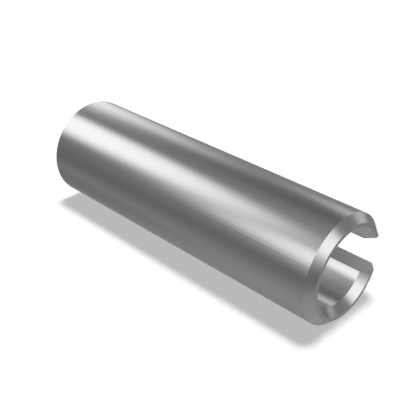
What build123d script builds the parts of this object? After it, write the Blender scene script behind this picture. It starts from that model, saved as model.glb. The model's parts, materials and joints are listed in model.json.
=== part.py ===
from build123d import *
import os

# Slotted spring pin: one strip of spring steel, rolled into a tube that stays open along one side.
# The pin stands on one end. Its axis is Z, its foot is at Z = 0 and its slot faces +Y.

# Driving dimensions, in millimetres
pin_diameter = 6.0
pin_length = 20.0
wall_thickness = 1.0
slot_width = 2.0
lead_in_chamfer = 0.4
end_land = 0.2

# Radii of the strip's two sides
outer_radius = pin_diameter / 2
bore_radius = outer_radius - wall_thickness

# The countersink takes what the lead-in and the flat land leave of the wall's end
mouth_chamfer = wall_thickness - lead_in_chamfer - end_land


with BuildPart() as spring_pin:
    # Section across the axis: a ring, opened by a slot with parallel faces
    with BuildSketch(Plane.XY):
        Circle(outer_radius)
        Circle(bore_radius, mode=Mode.SUBTRACT)
        Rectangle(slot_width, outer_radius, align=(Align.CENTER, Align.MIN), mode=Mode.SUBTRACT)
    extrude(amount=pin_length)

    # Lead-in round the outside of both ends
    rim_arcs = spring_pin.edges().filter_by(GeomType.CIRCLE).group_by(SortBy.RADIUS)[-1]
    chamfer(rim_arcs, lead_in_chamfer)

    # Countersink round both mouths of the bore
    mouth_arcs = spring_pin.edges().filter_by(GeomType.CIRCLE).group_by(SortBy.RADIUS)[0]
    chamfer(mouth_arcs, mouth_chamfer)

spring_pin.part.label = "spring_pin"

os.makedirs("parts", exist_ok=True)
export_step(spring_pin.part, "parts/spring_pin.step")
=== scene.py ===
import json
import math

import bmesh
import bpy
from mathutils import Matrix, Vector


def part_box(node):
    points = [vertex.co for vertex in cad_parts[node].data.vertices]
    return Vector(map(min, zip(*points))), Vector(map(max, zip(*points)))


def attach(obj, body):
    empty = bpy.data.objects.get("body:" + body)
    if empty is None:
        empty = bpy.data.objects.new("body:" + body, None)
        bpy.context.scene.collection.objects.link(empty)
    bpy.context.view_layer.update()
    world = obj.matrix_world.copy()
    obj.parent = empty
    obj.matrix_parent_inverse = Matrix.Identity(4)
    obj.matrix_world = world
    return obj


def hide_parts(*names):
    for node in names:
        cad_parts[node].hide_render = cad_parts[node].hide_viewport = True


# Slotted spring pin in satin steel, standing on one end in a studio of soft panels. The pin's axis is Z
# and its slot faces +Y. The studio's upright is -X, so that its panels run along the pin.

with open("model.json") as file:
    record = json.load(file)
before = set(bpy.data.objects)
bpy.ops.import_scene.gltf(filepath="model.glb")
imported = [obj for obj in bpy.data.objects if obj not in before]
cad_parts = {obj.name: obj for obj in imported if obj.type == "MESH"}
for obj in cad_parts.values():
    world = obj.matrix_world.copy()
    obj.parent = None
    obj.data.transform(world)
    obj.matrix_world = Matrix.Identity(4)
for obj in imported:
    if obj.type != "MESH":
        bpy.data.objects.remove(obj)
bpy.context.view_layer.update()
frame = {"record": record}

MM = 0.001


# Sizes of the pin, in metres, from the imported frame

def mount_size(name, size):
    found = next(mount for mount in frame["record"]["mounts"] if mount["name"] == name)
    return found["dims"][size] * MM


PIN_LOW, PIN_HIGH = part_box("spring_pin")
LENGTH = PIN_HIGH.z
OUTER_RADIUS = mount_size("outer_wall", "r_mm")
BORE_RADIUS = mount_size("bore", "r_mm")

# The straight walls leave room for a chamfer at each end
CHAMFER = (LENGTH - mount_size("outer_wall", "length_mm")) / 2
MOUTH_CHAMFER = (LENGTH - mount_size("bore", "length_mm")) / 2

# The slot's faces meet the outer wall at the pin's highest Y
SLOT_HALF = math.sqrt(OUTER_RADIUS**2 - PIN_HIGH.y**2)

# Facets in the wall's whole turn, and the widest angle between faces that are shaded as one
TURN_STEPS = 720
SHARP_ANGLE = math.radians(30)

# Vertices as near as this to a cut count as lying on it
CUT_REACH = 0.00002 * MM


# Camera: a square picture 30 degrees wide, with the pin's top end nearest

CAMERA_ANGLE = math.radians(30)
CAMERA_TURN = math.radians(45)
CAMERA_RISE = math.radians(30)
CAMERA_DISTANCE = 42 * MM
CAMERA_NEAREST = 1 * MM
CAMERA_FARTHEST = 2
PICTURE_UP = Vector((-1, 0, 0))


def studio_direction(turn, rise):
    """A direction by its turn round the studio's upright, from the pin's top end, and its rise."""
    return Vector((-math.sin(rise), math.cos(rise) * math.sin(turn), math.cos(rise) * math.cos(turn)))


def make_camera():
    camera = bpy.data.objects.new("camera", bpy.data.cameras.new("camera"))
    bpy.context.scene.collection.objects.link(camera)
    camera.data.angle = CAMERA_ANGLE
    camera.data.clip_start = CAMERA_NEAREST
    camera.data.clip_end = CAMERA_FARTHEST
    back = studio_direction(-CAMERA_TURN, CAMERA_RISE)
    right = PICTURE_UP.cross(back).normalized()
    axes = Matrix((right, back.cross(right), back)).transposed().to_4x4()
    place = (PIN_LOW + PIN_HIGH) / 2 + back * CAMERA_DISTANCE
    camera.matrix_world = Matrix.Translation(place) @ axes
    bpy.context.scene.camera = camera


# Nodes

def add_node(tree, kind, settings=None, inputs=None):
    """A shader node with its settings, and its inputs set to values or linked to other nodes."""
    node = tree.nodes.new(kind)
    for name, value in (settings or {}).items():
        setattr(node, name, value)
    for key, value in (inputs or {}).items():
        if isinstance(value, bpy.types.NodeSocket):
            tree.links.new(value, node.inputs[key])
        else:
            node.inputs[key].default_value = value
    return node


def math_node(tree, operation, *values):
    node = add_node(tree, "ShaderNodeMath", {"operation": operation}, dict(enumerate(values)))
    return node.outputs[0]


def diagonal(tree, width, height):
    """Length of a rectangle's diagonal."""
    squares = [math_node(tree, "MULTIPLY", side, side) for side in (width, height)]
    return math_node(tree, "SQRT", math_node(tree, "ADD", *squares))


def map_range(tree, value, start, end, new_start, new_end, interpolation="LINEAR"):
    """A number brought from one range to another, and held inside it."""
    node = add_node(tree, "ShaderNodeMapRange", {"interpolation_type": interpolation}, {
        "Value": value,
        "From Min": start,
        "From Max": end,
        "To Min": new_start,
        "To Max": new_end,
    })
    return node.outputs["Result"]


def mix_numbers(tree, share, first, second):
    """The first number where the share is 0, and the second where it is 1."""
    node = add_node(tree, "ShaderNodeMix", {"data_type": "FLOAT"}, {
        "Factor": share,
        "A": first,
        "B": second,
    })
    return node.outputs["Result"]


def axes_of(tree, coordinates):
    """X, Y and Z of a kind of texture coordinates."""
    place = add_node(tree, "ShaderNodeTexCoord").outputs[coordinates]
    return add_node(tree, "ShaderNodeSeparateXYZ", None, {"Vector": place}).outputs


def number_group(name, inputs, outputs):
    """A shader node group of numbers: the group, what it is given and what it puts out."""
    group = bpy.data.node_groups.new(name, "ShaderNodeTree")
    for label in inputs:
        group.interface.new_socket(label, in_out="INPUT", socket_type="NodeSocketFloat")
    for label in outputs:
        group.interface.new_socket(label, in_out="OUTPUT", socket_type="NodeSocketFloat")
    given = group.nodes.new("NodeGroupInput").outputs
    result = group.nodes.new("NodeGroupOutput").inputs
    return group, given, result


# World: a grey studio with soft panels, set out by turn and rise in degrees

HALF_TURN = 180

# How bright the studio is at each rise, from straight down to straight up
SKY = (
    (-90, 0.46), (-75, 0.43), (-60, 0.37), (-40, 0.32), (-30, 0.285), (-20, 0.215), (-12, 0.165),
    (-4, 0.185), (10, 0.195), (35, 0.2), (47, 0.22), (60, 0.27), (90, 0.37),
)

# How much bluer than grey the studio's light is, everywhere alike
STUDIO_BLUE = 0.01

# Name, turn, rise, width, height, corner radius, width of the soft edge, and brightness. The corner is
# at least half the edge. Later panels hang in front of earlier ones.
PANELS = (
    ("front_ground", 10, -60, 110, 50, 25, 40, 0.39),
    ("slot_ground", 148, -52, 98, 34, 17, 24, 0.30),
    ("front_wall", 46, 35, 86, 50, 12, 16, 0.245),
    ("far_flag", 138, 43, 30, 28, 8, 14, 0.14),
    ("slot_wall", 117, -2, 58, 56, 8, 10, 0.26),
    ("key", 201, 36, 41.5, 32.5, 16, 14, 1.65),
    ("side", 246, 32.5, 30, 32, 14, 12, 1.65),
    ("side_low", 255.5, 16.5, 24, 18.5, 8, 9, 1.28),
    ("slot_side", 144, 10.5, 19, 31, 9.5, 18, 1.47),
    ("slot_back", 157, 10.5, 24.5, 41.5, 7, 12, 1.40),
    ("slot_far", 110, 25, 21, 30, 8, 10, 0.85),
    ("small", 81, 16.5, 30, 34, 14, 12, 0.76),
    ("front", 359.5, 24.5, 45, 34, 14, 12, 1.58),
    ("front_low", 346, 8, 20, 18, 9, 12, 1.00),
    ("ground_flag", 189, -40, 46, 17, 8.5, 14, 0.21),
)


def past_corner(tree, offset, size, corner):
    """How far an offset from the middle of a panel lies beyond the centre of its rounded corner."""
    straight = math_node(tree, "SUBTRACT", math_node(tree, "MULTIPLY", size, 0.5), corner)
    beyond = math_node(tree, "SUBTRACT", math_node(tree, "ABSOLUTE", offset), straight)
    return math_node(tree, "MAXIMUM", beyond, 0)


def panel_group():
    """A soft-edged panel with rounded corners that hides the studio behind it."""
    inputs = (
        "Turn", "Rise", "Behind", "Centre Turn", "Centre Rise",
        "Width", "Height", "Corner", "Edge", "Brightness",
    )
    group, given, result = number_group("studio_panel", inputs, ("Light",))
    turned = math_node(group, "SUBTRACT", given["Turn"], given["Centre Turn"])
    turned = math_node(group, "WRAP", turned, HALF_TURN, -HALF_TURN)
    raised = math_node(group, "SUBTRACT", given["Rise"], given["Centre Rise"])
    across = past_corner(group, turned, given["Width"], given["Corner"])
    upward = past_corner(group, raised, given["Height"], given["Corner"])
    outside = math_node(group, "SUBTRACT", diagonal(group, across, upward), given["Corner"])
    edge_start = math_node(group, "MULTIPLY", given["Edge"], -0.5)
    edge_end = math_node(group, "MULTIPLY", given["Edge"], 0.5)
    share = map_range(group, outside, edge_start, edge_end, 1, 0, "SMOOTHSTEP")
    light = mix_numbers(group, share, given["Behind"], given["Brightness"])
    group.links.new(light, result["Light"])
    return group


def sky_light(tree, rise):
    """The studio's light without its panels. The ramp starts with its lowest and highest stops."""
    lowest = SKY[0][0]
    highest = SKY[-1][0]
    height = map_range(tree, rise, lowest, highest, 0, 1)
    ramp = add_node(tree, "ShaderNodeValToRGB", None, {"Fac": height})
    stops = ramp.color_ramp.elements
    for angle, level in SKY[1:-1]:
        stops.new((angle - lowest) / (highest - lowest))
    for stop, (angle, level) in zip(stops, SKY):
        stop.color = (level, level, level, 1)
    return ramp.outputs["Color"]


def hang_panels(tree, turn, rise, light):
    """The studio's light with the panels hung in it, one in front of another."""
    group = panel_group()
    for name, centre_turn, centre_rise, width, height, corner, edge, brightness in PANELS:
        panel = add_node(tree, "ShaderNodeGroup", {"node_tree": group, "label": name}, {
            "Turn": turn,
            "Rise": rise,
            "Behind": light,
            "Centre Turn": centre_turn,
            "Centre Rise": centre_rise,
            "Width": width,
            "Height": height,
            "Corner": corner,
            "Edge": edge,
            "Brightness": brightness,
        })
        light = panel.outputs["Light"]
    return light


def make_world():
    """The metal mirrors the studio and nothing else. The stage takes no light from it."""
    world = bpy.data.worlds.new("studio")
    bpy.context.scene.world = world
    world.use_nodes = True
    world.cycles_visibility.diffuse = False
    tree = world.node_tree
    axes = axes_of(tree, "Generated")
    turn = math_node(tree, "DEGREES", math_node(tree, "ARCTAN2", axes["Y"], axes["Z"]))
    upward = math_node(tree, "MULTIPLY", axes["X"], -1)
    rise = math_node(tree, "DEGREES", math_node(tree, "ARCSINE", upward))
    light = hang_panels(tree, turn, rise, sky_light(tree, rise))
    tinted = add_node(tree, "ShaderNodeCombineColor", None, {
        "Red": light,
        "Green": light,
        "Blue": math_node(tree, "ADD", light, STUDIO_BLUE),
    })
    tree.links.new(tinted.outputs["Color"], tree.nodes["Background"].inputs["Color"])


# Stage: a white floor, a white backdrop that touches the pin's side, and a white tent round both

TENT_RADIUS = 0.6
TENT_DETAIL = 5
FLOOR_SIDES = 64
BACKDROP_WIDTH = 80 * MM
BACKDROP_HEIGHT = 60 * MM

# Paint of the stage, and how bright it is where no lamp reaches it
STAGE_ALBEDO = 0.8
BACKDROP_SHADOW = 0.49
FLOOR_SHADOW = 0.75
TENT_GLOW = 1


def stage_material(name, glow, one_sided=False):
    """White paint that glows; a one-sided sheet isn't seen from behind."""
    material = bpy.data.materials.new(name)
    material.use_nodes = True
    tree = material.node_tree
    tree.nodes.clear()
    albedo = (STAGE_ALBEDO, STAGE_ALBEDO, STAGE_ALBEDO, 1)
    paint = add_node(tree, "ShaderNodeBsdfDiffuse", None, {"Color": albedo}).outputs["BSDF"]
    light = add_node(tree, "ShaderNodeEmission", None, {"Strength": glow}).outputs["Emission"]
    surface = add_node(tree, "ShaderNodeAddShader", None, {0: paint, 1: light}).outputs["Shader"]
    if one_sided:
        behind = add_node(tree, "ShaderNodeNewGeometry").outputs["Backfacing"]
        clear = add_node(tree, "ShaderNodeBsdfTransparent").outputs["BSDF"]
        sheet = add_node(tree, "ShaderNodeMixShader", None, {0: behind, 1: surface, 2: clear})
        surface = sheet.outputs["Shader"]
    output = add_node(tree, "ShaderNodeOutputMaterial", None, {"Surface": surface})
    output.is_active_output = True
    return material


def make_object(name, bm, material):
    mesh = bpy.data.meshes.new(name)
    bm.to_mesh(mesh)
    bm.free()
    mesh.materials.append(material)
    made = bpy.data.objects.new(name, mesh)
    bpy.context.scene.collection.objects.link(made)
    return made


def make_floor():
    bm = bmesh.new()
    bmesh.ops.create_circle(bm, cap_ends=True, segments=FLOOR_SIDES, radius=TENT_RADIUS)
    return make_object("floor", bm, stage_material("floor_white", FLOOR_SHADOW))


def make_backdrop():
    """An upright sheet on the floor that faces the pin from its +X side and touches it."""
    bm = bmesh.new()
    bmesh.ops.create_grid(bm, x_segments=1, y_segments=1, size=0.5)
    size = Matrix.Diagonal((BACKDROP_HEIGHT, BACKDROP_WIDTH, 1, 1))
    upright = Matrix.Rotation(math.radians(-90), 4, "Y")
    place = Matrix.Translation((OUTER_RADIUS, 0, BACKDROP_HEIGHT / 2))
    bmesh.ops.transform(bm, matrix=place @ upright @ size, verts=bm.verts)
    paint = stage_material("backdrop_white", BACKDROP_SHADOW, one_sided=True)
    return make_object("backdrop", bm, paint)


def make_tent():
    bm = bmesh.new()
    bmesh.ops.create_icosphere(bm, subdivisions=TENT_DETAIL, radius=TENT_RADIUS)
    return make_object("tent", bm, stage_material("tent_white", TENT_GLOW))


def make_stage():
    """The pin neither mirrors the stage nor takes light or shadow from it."""
    floor = make_floor()
    backdrop = make_backdrop()
    tent = make_tent()
    for piece in (floor, backdrop, tent):
        piece.visible_glossy = False
        piece.visible_diffuse = False
        piece.visible_shadow = False
    return floor


# Lamps, in directions by turn and rise in the studio. The top lamp throws the pin's shadow on the
# backdrop and skims the floor. The floor lamp stands higher over the floor and lights the floor alone.

TOP_LAMP_TURN = 0
TOP_LAMP_RISE = math.radians(90)
TOP_LAMP_SPREAD = math.radians(13)
FLOOR_LAMP_TURN = math.radians(-38)
FLOOR_LAMP_RISE = math.radians(30)
FLOOR_LAMP_SPREAD = math.radians(12)

# What the lamps add to the brightness of the stage
BACKDROP_LIT = 0.53
FLOOR_LIT = 0.33

# The card that throws the shadow on the backdrop is the pin pressed flat and a trace larger
SHADOW_CARD_SCALE = (0, 1.02, 1.0027)


def make_shadow_card(bm):
    """An unseen card at the pin's axis, so that the backdrop's shadow is equally soft all round."""
    bmesh.ops.scale(bm, vec=SHADOW_CARD_SCALE, verts=bm.verts)
    card = make_object("shadow_card", bm, stage_material("card", glow=0))
    card.visible_camera = False
    card.visible_glossy = False
    card.visible_diffuse = False
    card.visible_transmission = False
    return card


def make_lamp(name, turn, rise, spread, brightness):
    """A distant lamp that adds the given brightness to stage paint that faces it."""
    lamp = bpy.data.objects.new(name, bpy.data.lights.new(name, "SUN"))
    bpy.context.scene.collection.objects.link(lamp)
    lamp.data.energy = brightness * math.pi / STAGE_ALBEDO
    lamp.data.angle = spread
    lamp.rotation_mode = "QUATERNION"
    lamp.rotation_quaternion = studio_direction(turn, rise).to_track_quat("Z", "Y")
    lamp.visible_glossy = False
    return lamp


def collect(name, piece):
    group = bpy.data.collections.new(name)
    group.objects.link(piece)
    return group


def make_lamps(floor, card, pin):
    top_lamp = make_lamp("top_lamp", TOP_LAMP_TURN, TOP_LAMP_RISE, TOP_LAMP_SPREAD, BACKDROP_LIT)
    top_lamp.light_linking.blocker_collection = collect("shades_top_lamp", card)
    slope = studio_direction(FLOOR_LAMP_TURN, FLOOR_LAMP_RISE).z
    floor_lamp = make_lamp(
        "floor_lamp",
        FLOOR_LAMP_TURN,
        FLOOR_LAMP_RISE,
        FLOOR_LAMP_SPREAD,
        FLOOR_LIT / slope,
    )
    floor_lamp.light_linking.receiver_collection = collect("lit_by_floor_lamp", floor)
    floor_lamp.light_linking.blocker_collection = collect("shades_floor_lamp", pin)


# Steel: bare satin metal, with fine drawn streaks on the outer wall and smooth everywhere else

STEEL_GREY = 0.62
STEEL_ROUGHNESS = 0.25

# Size and fineness of the streaks, and how far they swing the colour and the roughness
GRAIN_PITCH = 0.12 * MM
GRAIN_LENGTH = 60 * MM
GRAIN_DEPTH = 0.003 * MM
GRAIN_DETAIL = 4
COLOUR_SWING = 0.02
ROUGHNESS_SWING = 0.02

# Where the steel is smooth, the grain keeps to the middle of its range from 0 to 1
SMOOTH_GRAIN = 0.5

# Painted light makes the bore a trace lighter, and painted shade makes the slot's slit faces a little
# darker
BORE_PAINTED_LIGHT = 1.05
SLOT_FACE_PAINTED_SHADE = 0.83

# A point as near as this to a surface of the pin counts as lying on it
SURFACE_REACH = 0.002 * MM


def drawn_streaks_group():
    """Fine streaks along Z, from 0 to 1."""
    group, given, result = number_group("drawn_streaks", ("Pitch", "Length"), ("Streaks",))
    axes = axes_of(group, "Object")
    stretched = add_node(group, "ShaderNodeCombineXYZ", None, {
        "X": math_node(group, "DIVIDE", axes["X"], given["Pitch"]),
        "Y": math_node(group, "DIVIDE", axes["Y"], given["Pitch"]),
        "Z": math_node(group, "DIVIDE", axes["Z"], given["Length"]),
    })
    noise = add_node(group, "ShaderNodeTexNoise", None, {
        "Vector": stretched.outputs["Vector"],
        "Scale": 1,
        "Detail": GRAIN_DETAIL,
    })
    group.links.new(noise.outputs["Fac"], result["Streaks"])
    return group


def wall_surfaces_group():
    """Masks of the wall's surfaces, by radius and by distance from the slot's middle plane."""
    inputs = ("Outer Radius", "Bore Radius", "Slot Half")
    outputs = ("Outer Wall", "Bore", "Slot Faces")
    group, given, result = number_group("wall_surfaces", inputs, outputs)
    axes = axes_of(group, "Object")
    radius = diagonal(group, axes["X"], axes["Y"])
    aside = math_node(group, "ABSOLUTE", axes["X"])
    within_slot = math_node(group, "LESS_THAN", aside, given["Slot Half"])
    on_slot_side = math_node(group, "GREATER_THAN", axes["Y"], 0)
    masks = {
        "Outer Wall": math_node(group, "GREATER_THAN", radius, given["Outer Radius"]),
        "Bore": math_node(group, "LESS_THAN", radius, given["Bore Radius"]),
        "Slot Faces": math_node(group, "MULTIPLY", within_slot, on_slot_side),
    }
    for name, mask in masks.items():
        group.links.new(mask, result[name])
    return group


def swung(tree, grain, middle, swing):
    """A value that the grain swings about its middle."""
    return map_range(tree, grain, 0, 1, middle - swing, middle + swing)


def shaded(tree, colour, mask, painted_factor):
    """The colour, times a factor of painted light where the mask is 1; a factor below 1 paints shade.
    """
    return math_node(tree, "MULTIPLY", colour, map_range(tree, mask, 0, 1, 1, painted_factor))


def steel_material():
    material = bpy.data.materials.new("satin_spring_steel")
    material.use_nodes = True
    tree = material.node_tree
    steel = tree.nodes["Principled BSDF"].inputs
    steel["Metallic"].default_value = 1
    surfaces = add_node(tree, "ShaderNodeGroup", {"node_tree": wall_surfaces_group()}, {
        "Outer Radius": OUTER_RADIUS - SURFACE_REACH,
        "Bore Radius": BORE_RADIUS + SURFACE_REACH,
        "Slot Half": SLOT_HALF + SURFACE_REACH,
    }).outputs
    streaks = add_node(tree, "ShaderNodeGroup", {"node_tree": drawn_streaks_group()}, {
        "Pitch": GRAIN_PITCH,
        "Length": GRAIN_LENGTH,
    }).outputs
    grain = mix_numbers(tree, surfaces["Outer Wall"], SMOOTH_GRAIN, streaks["Streaks"])
    colour = swung(tree, grain, STEEL_GREY, COLOUR_SWING)
    # Painted light in the bore and painted shade on the slot's slit faces, placed by their masks
    colour = shaded(tree, colour, surfaces["Bore"], BORE_PAINTED_LIGHT)
    colour = shaded(tree, colour, surfaces["Slot Faces"], SLOT_FACE_PAINTED_SHADE)
    roughness = swung(tree, grain, STEEL_ROUGHNESS, ROUGHNESS_SWING)
    bump = add_node(tree, "ShaderNodeBump", None, {"Height": grain, "Distance": GRAIN_DEPTH})
    tree.links.new(colour, steel["Base Color"])
    tree.links.new(roughness, steel["Roughness"])
    tree.links.new(bump.outputs["Normal"], steel["Normal"])
    return material


# Pin: one rolled strip, spun from the section of its wall and opened by the slot

def wall_section():
    """Corners of the wall's section, as radius and height, from the inner edge of the foot's land."""
    land_inner = BORE_RADIUS + MOUTH_CHAMFER
    land_outer = OUTER_RADIUS - CHAMFER
    return (
        (land_inner, 0),
        (land_outer, 0),
        (OUTER_RADIUS, CHAMFER),
        (OUTER_RADIUS, LENGTH - CHAMFER),
        (land_outer, LENGTH),
        (land_inner, LENGTH),
        (BORE_RADIUS, LENGTH - MOUTH_CHAMFER),
        (BORE_RADIUS, MOUTH_CHAMFER),
    )


def spin_wall(bm):
    corners = [bm.verts.new((radius, 0, height)) for radius, height in wall_section()]
    ring = [bm.edges.new((corner, corners[i - 1])) for i, corner in enumerate(corners)]
    bmesh.ops.spin(
        bm,
        geom=corners + ring,
        cent=(0, 0, 0),
        axis=(0, 0, 1),
        angle=math.tau,
        steps=TURN_STEPS,
        use_merge=True,
    )


def slot_side_faces(bm):
    return [face for face in bm.faces if face.calc_center_median().y > 0]


def cut_slot(bm):
    """Parts the wall along the slot's faces, takes out the strip between them and closes both cuts."""
    for side in (-1, 1):
        faces = slot_side_faces(bm)
        edges = {edge for face in faces for edge in face.edges}
        verts = {vert for face in faces for vert in face.verts}
        bmesh.ops.bisect_plane(
            bm,
            geom=[*verts, *edges, *faces],
            dist=CUT_REACH,
            plane_co=(side * SLOT_HALF, 0, 0),
            plane_no=(1, 0, 0),
        )
    strip = [face for face in slot_side_faces(bm) if abs(face.calc_center_median().x) < SLOT_HALF]
    bmesh.ops.delete(bm, geom=strip, context="FACES")
    rims = [edge for edge in bm.edges if edge.is_boundary]
    bmesh.ops.holes_fill(bm, edges=rims)


def rolled_wall():
    bm = bmesh.new()
    spin_wall(bm)
    cut_slot(bm)
    bmesh.ops.recalc_face_normals(bm, faces=bm.faces)
    return bm


def make_pin(bm):
    """The rolled pin, which isn't seen in its own reflections."""
    pin = make_object("rolled_pin", bm, steel_material())
    pin.data.shade_smooth()
    pin.data.set_sharp_from_angle(angle=SHARP_ANGLE)
    pin.visible_glossy = False
    pin.visible_diffuse = False
    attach(pin, "root")
    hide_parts("spring_pin")
    return pin


make_camera()
make_world()
floor = make_stage()
wall = rolled_wall()
card = make_shadow_card(wall.copy())
pin = make_pin(wall)
make_lamps(floor, card, pin)
bpy.context.scene.view_settings.view_transform = "Standard"
